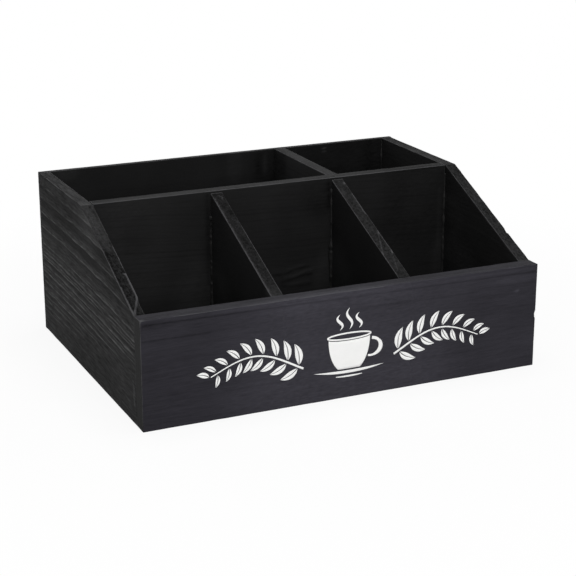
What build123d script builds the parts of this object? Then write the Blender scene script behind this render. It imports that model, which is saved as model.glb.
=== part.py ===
from build123d import *
import os

# Countertop organizer box: five compartments between sloped side boards.
# Millimetres, +Z up, front towards -Y, origin under the middle of the box.

# Driving sizes of the box
overall_width = 330.0
overall_height = 137.0
front_height = 85.0
front_bay_depth = 118.0
rear_bay_depth = 105.0
front_bay_count = 3

# Board thicknesses
side_thickness = 10.0
divider_thickness = 10.0
front_thickness = 13.0
back_thickness = 4.0
bottom_thickness = 4.0

# Bottom board and the grooves that hold it
bottom_lift = 4.0
groove_depth = 4.0
groove_slack = 0.1

# Sloped dividers stand a little below the boards that they meet
divider_rear_step = 2.0
divider_front_step = 0.5

# Sanded edges
board_ease = 0.8
thin_board_ease = 0.5

# Brads: flat wire with a wider head and a chisel point
brad_shank_width = 1.25
brad_shank_thickness = 1.0
brad_head_width = 2.0
brad_head_thickness = 1.3
brad_head_length = 0.8
brad_point_length = 2.0
brad_point_width = 0.3
brad_set_depth = 0.5
brad_slack = 0.05
long_brad = 30.0
middle_brad = 25.0
short_brad = 18.0
brad_end_margin = 13.0
bottom_brad_inset = 32.0
cross_brad_inset = 40.0

# Counts of brads at each joint
side_end_brad_count = 3
side_back_brad_count = 4
divider_front_brad_count = 2
divider_rear_brad_count = 3
divider_cross_brad_count = 2
bottom_edge_brad_count = 4
divider_bottom_brad_count = 2
cross_bottom_brad_count = 3

# Directions
to_right = (1, 0, 0)
to_left = (-1, 0, 0)
to_back = (0, 1, 0)
to_front = (0, -1, 0)
upwards = (0, 0, 1)

# Places worked out from the sizes above
inner_width = overall_width - 2 * side_thickness
overall_depth = (
    front_thickness + front_bay_depth + divider_thickness + rear_bay_depth + back_thickness
)
front_y = -overall_depth / 2
front_inner_y = front_y + front_thickness
cross_front_y = front_inner_y + front_bay_depth
cross_rear_y = cross_front_y + divider_thickness
back_inner_y = cross_rear_y + rear_bay_depth
back_y = back_inner_y + back_thickness
cross_middle_y = (cross_front_y + cross_rear_y) / 2
side_middle_x = (overall_width - side_thickness) / 2
floor_z = bottom_lift + bottom_thickness
bay_pitch = (inner_width + divider_thickness) / front_bay_count
left_divider_x = -bay_pitch / 2
right_divider_x = bay_pitch / 2
bottom_width = inner_width + 2 * (groove_depth - groove_slack)
bottom_front_y = front_inner_y - (groove_depth - groove_slack)
groove_z = bottom_lift - groove_slack
groove_height = bottom_thickness + 2 * groove_slack


def spread(low, high, count):
    """Evenly spaced places from low to high, both included."""
    step = (high - low) / (count - 1)
    return [low + step * index for index in range(count)]


def brads_at(x_places, y_places, z_places, way, head_way):
    """Planes of brads at each of the places, with the ways that they point and their heads lie."""
    return [
        Plane(origin=(x, y, z), x_dir=head_way, z_dir=way)
        for x in x_places
        for y in y_places
        for z in z_places
    ]


def brad_holes(planes, length):
    """Cut the seats of brads: a pocket for the head and a slot for the shank and its point."""
    pocket = brad_set_depth + brad_head_length + brad_slack
    with Locations(*planes):
        Box(
            brad_shank_width + 2 * brad_slack,
            brad_shank_thickness + 2 * brad_slack,
            length + brad_slack,
            align=(Align.CENTER, Align.CENTER, Align.MIN),
            mode=Mode.SUBTRACT,
        )
        Box(
            brad_head_width + 2 * brad_slack,
            brad_head_thickness + 2 * brad_slack,
            pocket,
            align=(Align.CENTER, Align.CENTER, Align.MIN),
            mode=Mode.SUBTRACT,
        )


# Where the brads of each joint go
divider_low_z = floor_z + brad_end_margin
divider_high_z = overall_height - brad_end_margin
bottom_middle_z = bottom_lift + bottom_thickness / 2
side_middles = [-side_middle_x, side_middle_x]
front_divider_places = [left_divider_x, right_divider_x]

panel_end_places = spread(brad_end_margin, front_height - brad_end_margin, side_end_brad_count)
panel_divider_places = spread(
    divider_low_z, front_height - brad_end_margin, divider_front_brad_count
)
front_panel_planes = (
    brads_at(side_middles, [front_y], panel_end_places, to_back, upwards)
    + brads_at(front_divider_places, [front_y], panel_divider_places, to_back, upwards)
)

back_end_places = spread(brad_end_margin, divider_high_z, side_back_brad_count)
back_divider_places = spread(divider_low_z, divider_high_z, divider_rear_brad_count)
bottom_edge_places = spread(
    -inner_width / 2 + brad_end_margin, inner_width / 2 - brad_end_margin, bottom_edge_brad_count
)
back_panel_planes = (
    brads_at(side_middles, [back_y], back_end_places, to_front, upwards)
    + brads_at([right_divider_x], [back_y], back_divider_places, to_front, upwards)
    + brads_at(bottom_edge_places, [back_y], [bottom_middle_z], to_front, to_right)
)

side_cross_places = spread(divider_low_z, divider_high_z, divider_rear_brad_count)
left_side_planes = brads_at(
    [-overall_width / 2], [cross_middle_y], side_cross_places, to_right, upwards
)
right_side_planes = brads_at(
    [overall_width / 2], [cross_middle_y], side_cross_places, to_left, upwards
)

cross_places = spread(divider_low_z, divider_high_z, divider_cross_brad_count)
rear_divider_planes = brads_at(
    [right_divider_x], [cross_front_y], cross_places, to_back, upwards
)
front_divider_planes = brads_at(
    [left_divider_x], [cross_rear_y], cross_places, to_front, upwards
)

front_bay_places = spread(
    front_inner_y + bottom_brad_inset, cross_front_y - bottom_brad_inset, divider_bottom_brad_count
)
rear_bay_places = spread(
    cross_rear_y + bottom_brad_inset, back_inner_y - bottom_brad_inset, divider_bottom_brad_count
)
cross_bottom_places = spread(
    -inner_width / 2 + cross_brad_inset, inner_width / 2 - cross_brad_inset, cross_bottom_brad_count
)
bottom_panel_planes = (
    brads_at(front_divider_places, front_bay_places, [bottom_lift], upwards, to_right)
    + brads_at([right_divider_x], rear_bay_places, [bottom_lift], upwards, to_right)
    + brads_at(cross_bottom_places, [cross_middle_y], [bottom_lift], upwards, to_right)
)

boards = {}

# Side boards: level at the back, then one straight slope down to the front panel's top edge
for side_name, side, cross_end_planes in (
    ("left_side_panel", -1, left_side_planes),
    ("right_side_panel", 1, right_side_planes),
):
    with BuildPart() as side_panel:
        with BuildSketch(Plane.YZ.offset(side * side_middle_x)):
            with BuildLine():
                Polyline(
                    (front_inner_y, 0),
                    (back_inner_y, 0),
                    (back_inner_y, overall_height),
                    (cross_front_y, overall_height),
                    (front_inner_y, front_height),
                    close=True,
                )
            make_face()
        extrude(amount=side_thickness / 2, both=True)
        # The level and sloped top edges are sanded on both faces
        top_faces = side_panel.faces().sort_by(Axis.Z)[-2:]
        long_edges = top_faces.edges().filter_by(Axis.X, reverse=True)
        fillet(long_edges, radius=board_ease)
        # Groove for the bottom board, open at both ends
        with Locations((side * (inner_width / 2 + groove_depth / 2), 0, groove_z)):
            Box(
                groove_depth,
                overall_depth,
                groove_height,
                align=(Align.CENTER, Align.CENTER, Align.MIN),
                mode=Mode.SUBTRACT,
            )
        brad_holes(cross_end_planes, long_brad)
        brad_holes(front_panel_planes, long_brad)
        brad_holes(back_panel_planes, short_brad)
    boards[side_name] = side_panel

# Front panel: covers the ends of the sides, with a stopped groove for the bottom board
with BuildPart() as front_panel:
    with BuildSketch(Plane.XZ.offset(-front_inner_y)):
        with Locations((0, front_height / 2)):
            Rectangle(overall_width, front_height)
    extrude(amount=front_thickness)
    top_face = front_panel.faces().sort_by(Axis.Z)[-1]
    front_face = front_panel.faces().sort_by(Axis.Y)[0]
    fillet(list(set(top_face.edges()) | set(front_face.edges())), radius=board_ease)
    with Locations((0, front_inner_y - groove_depth / 2, groove_z)):
        Box(
            bottom_width + 2 * groove_slack,
            groove_depth,
            groove_height,
            align=(Align.CENTER, Align.CENTER, Align.MIN),
            mode=Mode.SUBTRACT,
        )
    brad_holes(front_panel_planes, long_brad)
boards["front_panel"] = front_panel

# Back panel: a thin board over the back ends of the sides
with BuildPart() as back_panel:
    with BuildSketch(Plane.XZ.offset(-back_y)):
        with Locations((0, overall_height / 2)):
            Rectangle(overall_width, overall_height)
    extrude(amount=back_thickness)
    top_face = back_panel.faces().sort_by(Axis.Z)[-1]
    fillet(top_face.edges().filter_by(Axis.X), radius=thin_board_ease)
    brad_holes(back_panel_planes, short_brad)
boards["back_panel"] = back_panel

# Bottom board: slides into the grooves of the sides and the front panel
with BuildPart() as bottom_panel:
    with BuildSketch(Plane.XY.offset(bottom_lift)):
        with Locations((0, (bottom_front_y + back_inner_y) / 2)):
            Rectangle(bottom_width, back_inner_y - bottom_front_y)
    extrude(amount=bottom_thickness)
    brad_holes(bottom_panel_planes, middle_brad)
    brad_holes(back_panel_planes, short_brad)
boards["bottom_panel"] = bottom_panel

# Cross divider: full width between the sides, flush with their level tops
with BuildPart() as cross_divider:
    with BuildSketch(Plane.XY.offset(floor_z)):
        with Locations((0, cross_middle_y)):
            Rectangle(inner_width, divider_thickness)
    extrude(amount=overall_height - floor_z)
    top_face = cross_divider.faces().sort_by(Axis.Z)[-1]
    fillet(top_face.edges().filter_by(Axis.X), radius=board_ease)
    brad_holes(left_side_planes + right_side_planes, long_brad)
    brad_holes(rear_divider_planes + front_divider_planes, long_brad)
    brad_holes(bottom_panel_planes, middle_brad)
boards["cross_divider"] = cross_divider

# Rear divider: in line with the right front divider, flush with the cross divider's top
with BuildPart() as rear_divider:
    with BuildSketch(Plane.XY.offset(floor_z)):
        with Locations((right_divider_x, (cross_rear_y + back_inner_y) / 2)):
            Rectangle(divider_thickness, rear_bay_depth)
    extrude(amount=overall_height - floor_z)
    top_face = rear_divider.faces().sort_by(Axis.Z)[-1]
    fillet(top_face.edges().filter_by(Axis.Y), radius=board_ease)
    brad_holes(rear_divider_planes, long_brad)
    brad_holes(back_panel_planes, short_brad)
    brad_holes(bottom_panel_planes, middle_brad)
boards["rear_divider"] = rear_divider

# Front dividers: their top edges follow the slope of the sides
for divider_name, divider_x in (
    ("front_divider_left", left_divider_x),
    ("front_divider_right", right_divider_x),
):
    with BuildPart() as front_divider:
        with BuildSketch(Plane.YZ.offset(divider_x)):
            with BuildLine():
                Polyline(
                    (front_inner_y, floor_z),
                    (cross_front_y, floor_z),
                    (cross_front_y, overall_height - divider_rear_step),
                    (front_inner_y, front_height - divider_front_step),
                    close=True,
                )
            make_face()
        extrude(amount=divider_thickness / 2, both=True)
        top_face = front_divider.faces().sort_by(Axis.Z)[-1]
        fillet(top_face.edges().filter_by(Axis.X, reverse=True), radius=board_ease)
        brad_holes(front_panel_planes, long_brad)
        brad_holes(front_divider_planes, long_brad)
        brad_holes(bottom_panel_planes, middle_brad)
    boards[divider_name] = front_divider


def one_brad(length):
    """One brad along +Z: head at the start, shank, and a wedge-shaped point at the end."""
    shank_end = length - brad_point_length
    with BuildPart() as brad:
        with BuildSketch(Plane.XY.offset(brad_set_depth)):
            Rectangle(brad_head_width, brad_head_thickness)
        extrude(amount=brad_head_length)
        with BuildSketch(Plane.XY.offset(brad_set_depth + brad_head_length)):
            Rectangle(brad_shank_width, brad_shank_thickness)
        extrude(amount=shank_end - brad_set_depth - brad_head_length)
        with BuildSketch(Plane.XY.offset(shank_end)):
            Rectangle(brad_shank_width, brad_shank_thickness)
        with BuildSketch(Plane.XY.offset(length)):
            Rectangle(brad_point_width, brad_shank_thickness)
        loft()
    return brad.part


os.makedirs("parts", exist_ok=True)

for board_name, board in boards.items():
    board.part.label = board_name
    export_step(board.part, f"parts/{board_name}.step")

# Brads, one group for each joint
for group_name, planes, length in (
    ("front_panel_brads", front_panel_planes, long_brad),
    ("back_panel_brads", back_panel_planes, short_brad),
    ("left_side_brads", left_side_planes, long_brad),
    ("right_side_brads", right_side_planes, long_brad),
    ("rear_divider_brads", rear_divider_planes, long_brad),
    ("front_divider_brads", front_divider_planes, long_brad),
    ("bottom_panel_brads", bottom_panel_planes, middle_brad),
):
    single_brad = one_brad(length)
    with BuildPart() as brad_group:
        with Locations(*planes):
            add(single_brad)
    brad_group.part.label = group_name
    export_step(brad_group.part, f"parts/{group_name}.step")
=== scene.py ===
import math

import bpy
import numpy as np
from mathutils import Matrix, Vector


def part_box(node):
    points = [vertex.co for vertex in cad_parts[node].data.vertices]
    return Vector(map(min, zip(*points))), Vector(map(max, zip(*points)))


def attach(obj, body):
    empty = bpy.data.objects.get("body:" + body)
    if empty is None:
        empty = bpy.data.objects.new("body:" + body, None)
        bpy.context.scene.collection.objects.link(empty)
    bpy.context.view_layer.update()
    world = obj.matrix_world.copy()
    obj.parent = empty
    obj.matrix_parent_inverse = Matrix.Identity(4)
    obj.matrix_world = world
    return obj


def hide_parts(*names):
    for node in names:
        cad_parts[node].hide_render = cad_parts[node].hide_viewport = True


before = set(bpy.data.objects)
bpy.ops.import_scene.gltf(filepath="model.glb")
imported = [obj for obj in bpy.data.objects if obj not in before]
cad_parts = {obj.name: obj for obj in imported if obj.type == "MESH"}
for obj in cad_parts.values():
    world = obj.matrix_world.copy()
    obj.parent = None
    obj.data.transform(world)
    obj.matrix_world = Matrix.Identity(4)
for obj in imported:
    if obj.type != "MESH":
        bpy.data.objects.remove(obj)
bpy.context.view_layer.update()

# Units and axes
MM = 0.001
X, Y, Z = 0, 1, 2

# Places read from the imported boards
front_low, front_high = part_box("front_panel")
bottom_low, bottom_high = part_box("bottom_panel")
FRONT_TOP = front_high.z
FRONT_INNER = front_high.y
FLOOR_Z = bottom_high.z
BOX_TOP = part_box("left_side_panel")[1].z
SLOPE_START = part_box("cross_divider")[0].y
BACK_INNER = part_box("back_panel")[0].y
RIGHT_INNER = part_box("right_side_panel")[0].x
LEFT_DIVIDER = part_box("front_divider_left")[0].x
RIGHT_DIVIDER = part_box("front_divider_right")[0].x

# How far the front end of a front divider lies below the front panel's top
DIVIDER_STEP = 0.5 * MM

# How far a sanded edge takes to round over, as distances of the grid lines from the edge
EDGE_LINES = np.array([0.0, 0.12, 0.28, 0.5, 0.75, 1.1, 1.7]) * MM
HOLE_LINES = np.array([-2.2, -1.4, -0.8, -0.3, 0.3, 0.8, 1.4, 2.2]) * MM


# Smooth noise and small shaping functions

CELLS = 32
LATTICE = np.random.default_rng(11).random((CELLS, CELLS, CELLS))


def cloud(x, y, z):
    """Noise from 0 to 1: random values at whole numbers, blended with a smoothstep in between."""
    places = np.stack(np.broadcast_arrays(np.asarray(x, float), y, z))
    cell = np.floor(places).astype(int)
    part = places - cell
    part = part * part * (3 - 2 * part)
    total = 0.0
    for corner in np.ndindex(2, 2, 2):
        share = 1.0
        for axis in range(3):
            share = share * (part[axis] if corner[axis] else 1 - part[axis])
        at = [(cell[axis] + corner[axis]) % CELLS for axis in range(3)]
        total = total + share * LATTICE[at[0], at[1], at[2]]
    return total


def lumps(points, size):
    """Noise from 0 to 1 at 3-D points, with lumps of a size in millimetres."""
    return cloud(*(points / (size * MM)).T)


def ease(value, start, stop):
    """0 before start, 1 after stop, and a smoothstep in between."""
    share = np.clip((value - start) / (stop - start), 0, 1)
    return share * share * (3 - 2 * share)


def hump(distance, width):
    """A bell of height 1 at distance 0."""
    return np.exp(-((distance / width) ** 2))


def near(points, centre, size):
    """A soft-edged ellipsoid: 1 inside it, and 0 from about one and a half of its sizes on."""
    away = (points - np.array(centre) * MM) / (np.array(size) * MM)
    return 1 - ease(np.sqrt((away ** 2).sum(axis=1)), 0.6, 1.5)


def along_path(points, path, radius):
    """1 on straight runs between places in millimetres, falling off as a bell beside them."""
    nearest = np.full(len(points), np.inf)
    for start, stop in zip(path[:-1], path[1:]):
        start, stop = np.array(start) * MM, np.array(stop) * MM
        run = stop - start
        share = np.clip((points - start) @ run / (run @ run), 0, 1)
        away = points - start - share[:, None] * run
        nearest = np.minimum(nearest, np.sqrt((away ** 2).sum(axis=1)))
    return hump(nearest, radius * MM)


# Closed meshes on grids

def grid_lines(low, high, step, extra=()):
    """Places about one step apart, closer at both ends and round the extra places."""
    even = np.linspace(low, high, max(2, int(round((high - low) / step)) + 1))
    close = [low + EDGE_LINES, high - EDGE_LINES]
    close += [place + HOLE_LINES for place in extra]
    close = np.concatenate(close)
    close = close[(close >= low) & (close <= high)]
    far = even[np.abs(even[:, None] - close[None, :]).min(axis=1) > 0.35 * step]
    return np.unique(np.round(np.concatenate([close, far]), 7))


def closed_slab(columns, rows, layers):
    """Column, row and layer numbers of the vertices of a closed slab, and its quads.
    The first and last layers are whole grids. The layers between have only their rim."""
    column, row = np.meshgrid(np.arange(columns), np.arange(rows), indexing="ij")
    number = column * rows + row
    face = columns * rows
    rim = np.concatenate([
        number[:-1, 0], number[-1, :-1], number[:0:-1, -1], number[0, :0:-1],
    ])
    rings = [rim]
    rings += [2 * face + layer * len(rim) + np.arange(len(rim)) for layer in range(layers - 2)]
    rings.append(face + rim)
    corners = np.stack([number[:-1, :-1], number[1:, :-1], number[1:, 1:], number[:-1, 1:]], -1)
    corners = corners.reshape(-1, 4)
    quads = [corners[:, ::-1], corners + face]
    for lower, upper in zip(rings[:-1], rings[1:]):
        quads.append(np.stack([lower, np.roll(lower, -1), np.roll(upper, -1), upper], -1))
    flat_column, flat_row = column.ravel(), row.ravel()
    column_of = [flat_column, flat_column] + [flat_column[rim]] * (layers - 2)
    row_of = [flat_row, flat_row] + [flat_row[rim]] * (layers - 2)
    layer_of = [np.zeros(face, int), np.full(face, layers - 1)]
    layer_of += [np.full(len(rim), layer) for layer in range(1, layers - 1)]
    return (
        np.concatenate(column_of), np.concatenate(row_of), np.concatenate(layer_of),
        np.concatenate(quads),
    )


def add_object(name, data):
    """A new object at the origin."""
    holder = bpy.data.objects.new(name, data)
    bpy.context.scene.collection.objects.link(holder)
    return holder


def outwards(points, quads):
    """The quads, turned round if the signed volume that they enclose is negative."""
    first, second, third, fourth = (points[quads[:, corner]] for corner in range(4))
    volume = np.einsum("ij,ij->", first, np.cross(second, third))
    volume = volume + np.einsum("ij,ij->", first, np.cross(third, fourth))
    return quads[:, ::-1] if volume < 0 else quads


def make_piece(name, points, quads, **masks):
    """A mesh object from points and quads, turned outwards, with one attribute for each mask."""
    quads = outwards(points, quads)
    mesh = bpy.data.meshes.new(name)
    mesh.vertices.add(len(points))
    mesh.vertices.foreach_set("co", points.astype(np.float32).ravel())
    mesh.loops.add(quads.size)
    mesh.loops.foreach_set("vertex_index", quads.astype(np.int32).ravel())
    mesh.polygons.add(len(quads))
    mesh.polygons.foreach_set("loop_start", np.arange(0, quads.size, 4, dtype=np.int32))
    mesh.polygons.foreach_set("use_smooth", np.ones(len(quads), bool))
    mesh.update(calc_edges=True)
    for mask, values in masks.items():
        attribute = mesh.attributes.new(mask, "FLOAT", "POINT")
        attribute.data.foreach_set("value", np.asarray(values, np.float32))
    return add_object(name, mesh)


# Boards

def outline_of(low_chain, high_chain):
    """Corners of a board's outline, from its low and high ends along the rows."""
    corners = [(low_chain[0][1], low_chain[0][0])]
    corners += [(end, height) for height, end in high_chain]
    corners += [(end, height) for height, end in low_chain[:0:-1]]
    kept = [corners[0]]
    for corner in corners[1:]:
        if math.dist(corner, kept[-1]) > 0.01 * MM:
            kept.append(corner)
    return np.array(kept)


def sanded(along, up, through, corners, ends, radii, joined):
    """Round over the edges of a flat board.
    A point near an edge is carried towards the inside by what the edge's radius lacks, and then
    back out by that radius along the line between the two places. Returns the place, the outward
    direction and the distance to the nearest edge."""
    following = np.roll(corners, -1, axis=0)
    run = following - corners
    run = run / np.linalg.norm(run, axis=1)[:, None]
    inward = np.stack([-run[:, 1], run[:, 0]], -1)
    depth = np.stack([
        (along - corner[0]) * normal[0] + (up - corner[1]) * normal[1]
        for corner, normal in zip(corners, inward)
    ])
    place = np.stack([along, up, through])
    wear = 0.7 + 0.6 * lumps(place.T, 9)
    weight = 1 / (np.abs(depth) + 0.02 * MM) ** 2
    radii = np.array(radii)[:, None] * MM
    radius = (weight * radii).sum(axis=0) / weight.sum(axis=0) * wear
    shift = np.zeros((3, len(along)))
    distances = []
    for group in joined:
        nearest = np.argmin(depth[group], axis=0)
        distance = np.take_along_axis(depth[group], nearest[None, :], axis=0)[0]
        lacking = np.maximum(0, radius - distance)
        shift[0] += inward[group][nearest, 0] * lacking
        shift[1] += inward[group][nearest, 1] * lacking
        distances.append(distance)
    to_low = through - ends[0]
    to_high = ends[1] - through
    shift[2] += np.maximum(0, radius - to_low) - np.maximum(0, radius - to_high)
    distances += [to_low, to_high]
    outward = -shift / np.maximum(np.linalg.norm(shift, axis=0), 1e-12)
    return place + shift + outward * radius, outward, np.sort(np.stack(distances), axis=0)[1]


# The ridge value of plain wood, between the grooves at 0 and the hard lines at 1
PLAIN = 0.4

# Brad heads: how far the filler over them is sunk, and how wide the hollow is
HOLLOW_DEPTH = 0.38 * MM
HOLLOW_WIDTH = 1.1 * MM


def random_rings(seed, low, high, gap, line, groove):
    """Ring lines between two heights in millimetres: height, line strength, groove strength.
    The gaps between them are spread round the given one as a log-normal."""
    random = np.random.default_rng(seed)
    gaps = gap * np.exp(random.normal(0, 0.45, int(3 * (high - low) / gap)))
    heights = low + np.cumsum(gaps)
    heights = heights[heights < high]
    strengths = random.uniform(0.15, 1.0, (2, len(heights)))
    return list(zip(heights, line * strengths[0], groove * strengths[1]))


def ring_ridges(grain, across, through, wood):
    """Ridge value of the brushed surface, and the height across the board that it follows.
    The height leans with the thickness, tilts and bows along the grain and waves a little. The
    hard lines lie at the wood's list of heights. Each has a bell as its section, sinks slowly
    into the plain wood above it, and drops into a flat groove below it, which ends before the
    next line. A line's strength changes along the grain, and short fibres break it up."""
    seed = wood["seed"]
    height = across + wood["lean"] * through - wood["tilt"] * grain
    height = height + wood["bow"] * (grain - wood["bow_from"]) ** 2
    wave = cloud(grain / (70 * MM) + seed, across / (28 * MM), seed) - 0.5
    ripple = cloud(grain / (13 * MM), across / (6 * MM) + seed, 2 * seed) - 0.5
    height = height + wood["wave"] * wave + wood["ripple"] * ripple
    for place, reach, lift in wood.get("swirls", ()):
        away = ((grain - place[0]) / reach[0]) ** 2 + ((across - place[1]) / reach[1]) ** 2
        height = height + lift * np.exp(-away) * np.cos(3 * (grain - place[0]) / reach[0])

    heights, lines, grooves = np.array(wood["rings"]).T
    heights = heights * MM
    lower = np.clip(np.searchsorted(heights, height) - 1, 0, len(heights) - 2)
    above = np.abs(height - heights[lower])
    below = np.abs(heights[lower + 1] - height)
    gap = heights[lower + 1] - heights[lower]
    half = np.minimum(wood["sharp"], 0.3 * gap)
    along = grain / (45 * MM)
    first = 0.35 + 1.1 * cloud(lower * 3.7, along, seed + 9)
    second = 0.35 + 1.1 * cloud((lower + 1) * 3.7, along, seed + 9)
    crest = np.maximum(hump(above, half), 0.25 * np.exp(-above / wood["soft"]))
    rise = lines[lower] * first * crest
    edge = hump(below, half)
    rise = rise + lines[lower + 1] * second * edge
    floor = 1 - ease(below / gap, *wood["groove"])
    sink = grooves[lower + 1] * second * floor * (1 - edge)
    short = cloud(grain / (7 * MM), height / (1.3 * MM), 3 * seed)
    rise = rise * (1 - wood["broken_up"] + 2 * wood["broken_up"] * short)
    shape = (1 - PLAIN) * rise - PLAIN * sink
    if "fade" in wood:
        start, stop, climb = wood["fade"]
        level = across - climb * (wood["bow_from"] - grain)
        shape = shape * (0.1 + 0.9 * ease(level, start, stop))
    return np.clip(PLAIN + shape, 0, 1.15), height


def nail_marks(node, axis, at_low):
    """Middles of the brad heads of a node that lie at one end of an axis: the means of the
    vertices there, gathered by cells of 5 mm."""
    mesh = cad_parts[node].data
    points = np.zeros(3 * len(mesh.vertices), np.float32)
    mesh.vertices.foreach_get("co", points)
    points = points.reshape(-1, 3).astype(float)
    level = points[:, axis].min() if at_low else points[:, axis].max()
    heads = points[np.abs(points[:, axis] - level) < 0.05 * MM]
    _, member = np.unique(np.round(heads / (5 * MM)), axis=0, return_inverse=True)
    member = member.ravel()
    count = np.bincount(member)
    return np.stack([np.bincount(member, heads[:, k]) / count for k in range(3)], -1)


# A plain pine board. Lean, tilt and bow say how its rings run, with a wave and a ripple on them.
# Sharp is a hard line's half width and soft the length of its slow side. Groove is how far the
# groove below a line stays flat and where it ends, as shares of the gap to the next line.
# Broken_up is how much short fibres break the lines, and planed how much smoother the inside of
# the box is. Relief, fibre, torn and skin are depths: of the brushing, of the fibres, of torn
# end grain and of the whole skin. Joined lists the edges that round over as one.
PINE = {
    "grain": X, "rings": random_rings(4, -20, 180, gap=5.0, line=0.7, groove=0.7),
    "lean": 0.6, "tilt": 0.0, "bow": 0.0, "bow_from": 0.0,
    "wave": 6 * MM, "ripple": 0.8 * MM, "sharp": 0.7 * MM,
    "soft": 1.6 * MM, "groove": (0.15, 0.6), "broken_up": 0.3, "planed": 0.5,
    "relief": 0.10 * MM, "fibre": 0.03 * MM, "torn": 0.10 * MM, "skin": 0.06 * MM,
    "joined": [[0], [1], [2], [3]],
}


def make_board(node, axes, low_chain, high_chain, radii, steps, **changes):
    """A board of pine, with its changes, as a closed slab on a grid whose rows keep their height.
    axes are the board's along, up and through axes. The chains give the low and high end of the
    rows against their height. The surface is sanded at its edges, and brushed: it lies lower by
    the relief times one minus the ridge, by a little noise in the fibres, and at nail marks.
    Radii and steps are in millimetres."""
    wood = dict(PINE, **changes)
    marks = wood.get("nails", ())
    low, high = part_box(node)
    steps = np.array(steps) * MM
    along_axis, up_axis, through_axis = axes
    low_heights, low_ends = np.array(low_chain).T
    high_heights, high_ends = np.array(high_chain).T
    heights = grid_lines(
        low_heights[0], low_heights[-1], steps[1],
        [mark[up_axis] for mark in marks] + list(low_heights[1:-1]),
    )
    length = max(high_ends) - min(low_ends)
    shares = (grid_lines(
        min(low_ends), max(high_ends), steps[0], [mark[along_axis] for mark in marks],
    ) - min(low_ends)) / length
    layers = grid_lines(low[through_axis], high[through_axis], steps[2])
    column, row, layer, quads = closed_slab(len(shares), len(heights), len(layers))
    up = heights[row]
    start = np.interp(up, low_heights, low_ends)
    stop = np.interp(up, high_heights, high_ends)
    along = start + shares[column] * (stop - start)
    through = layers[layer]
    corners = outline_of(low_chain, high_chain)
    ends = (low[through_axis], high[through_axis])
    place, outward, edge = sanded(along, up, through, corners, ends, radii, wood["joined"])
    points, normal = np.empty((2, len(along), 3))
    points[:, axes] = place.T
    normal[:, axes] = outward.T

    grain_axis = wood["grain"]
    across_axis = next(axis for axis in axes[:2] if axis != grain_axis)
    flat = {axes[0]: along, axes[1]: up, axes[2]: through}
    grain, across = flat[grain_axis], flat[across_axis]
    ridge, ringed = ring_ridges(grain, across, flat[through_axis] - ends[0], wood)
    inside = inside_box(points, normal, edge)
    ridge = PLAIN + (ridge - PLAIN) * (1 - wood["planed"] * inside)
    fibre = cloud(grain / (24 * MM), ringed / (1.2 * MM), flat[through_axis] / (1.2 * MM))
    cut = np.abs(normal[:, grain_axis])
    torn = lumps(points, 0.9)
    relief = wood["relief"] * (1 - wood["planed"] * inside)
    sunk = relief * (1 - ridge) * (1 - 0.5 * cut) + wood["fibre"] * fibre * (1 - cut)
    sunk = sunk + wood["torn"] * torn * ease(cut, 0.2, 0.4) + wood["skin"]
    for mark in marks:
        filled = np.exp(-((points - mark) ** 2).sum(axis=1) / HOLLOW_WIDTH ** 2)
        sunk = sunk * (1 - filled) + HOLLOW_DEPTH * filled
    ragged = 0.6 + 0.8 * lumps(points, 1)
    for centre, size, deep in wood.get("chips", ()):
        sunk = sunk + deep * MM * ragged * near(points, centre, size)
    # Shade sums the marks' light and dark. Inside the box many of them are painted light and
    # painted shade.
    shade = np.zeros(len(points))
    for centre, size, amount in wood.get("patches", ()):
        shade = shade + amount * ragged * near(points, centre, size)
    for radius, amount, *path in wood.get("lines", ()):
        shade = shade + amount * ragged * along_path(points, path, radius)

    worn = hump(edge, 0.6 * MM) * (0.6 + 0.4 * ease(lumps(points, 11), 0.25, 0.65))
    for radius, amount, *path in wood.get("rubbed", ()):
        worn = np.maximum(worn + amount * ragged * along_path(points, path, radius), 0)
    points = points - normal * sunk[:, None]
    if "broken" in wood:
        points = broken_corner(points, *wood["broken"])
    piece = make_piece(
        node + "_board", points, quads, ridge=ridge, worn=worn, cut=cut,
        level=ease(normal[:, Z], 0.94, 0.99), shade=shade, inside=inside, ringed=ringed,
    )
    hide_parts(node)
    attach(piece, "root")
    return piece


def broken_corner(points, first, last, depth):
    """Break the corner off a side panel's slope, beyond the line between two x and y places.
    Points under the slope move down by the depth at the top, and by nothing at twice it."""
    first, last = np.array(first) * MM, np.array(last) * MM
    run = (last - first) / math.dist(last, first)
    beyond = (points[:, :2] - first) @ np.array([-run[1], run[0]])
    rough = cloud(points[:, 0] / (1.6 * MM), points[:, 1] / (1.6 * MM), 3.0)
    share = ease(beyond, -0.1 * MM, 0.7 * MM) * (0.6 + 0.4 * rough)
    steep = (BOX_TOP - FRONT_TOP) / (SLOPE_START - FRONT_INNER)
    under = FRONT_TOP + steep * (points[:, 1] - FRONT_INNER) - points[:, 2]
    rest = np.clip(1 - under / (2 * depth * MM), 0, 1)
    points[:, 2] = points[:, 2] - depth * MM * share * rest
    return points


def inside_box(points, normal, edge):
    """1 on every face that looks into a compartment, with a soft start at the top edges."""
    x, y, z = points.T
    within = (np.abs(x) < RIGHT_INNER + 0.2 * MM) & (y > FRONT_INNER - 0.3 * MM)
    within = within & (y < BACK_INNER + 0.3 * MM) & (z > bottom_low.z + 0.5 * MM)
    level = 1 - ease(np.abs(normal[:, 2]), 0.35, 0.7)
    floor = (normal[:, 2] > 0.7) & (z < FLOOR_Z + 1 * MM)
    return within * np.maximum(level, floor) * ease(edge, 0.1 * MM, 1.1 * MM)


def level_board(node, axes, radii, steps, **changes):
    """A rectangular board: every row runs from end to end of its box."""
    low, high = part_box(node)
    along, up, _ = axes
    chains = [[(low[up], end), (high[up], end)] for end in (low[along], high[along])]
    return make_board(node, axes, *chains, radii, steps, **changes)


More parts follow.
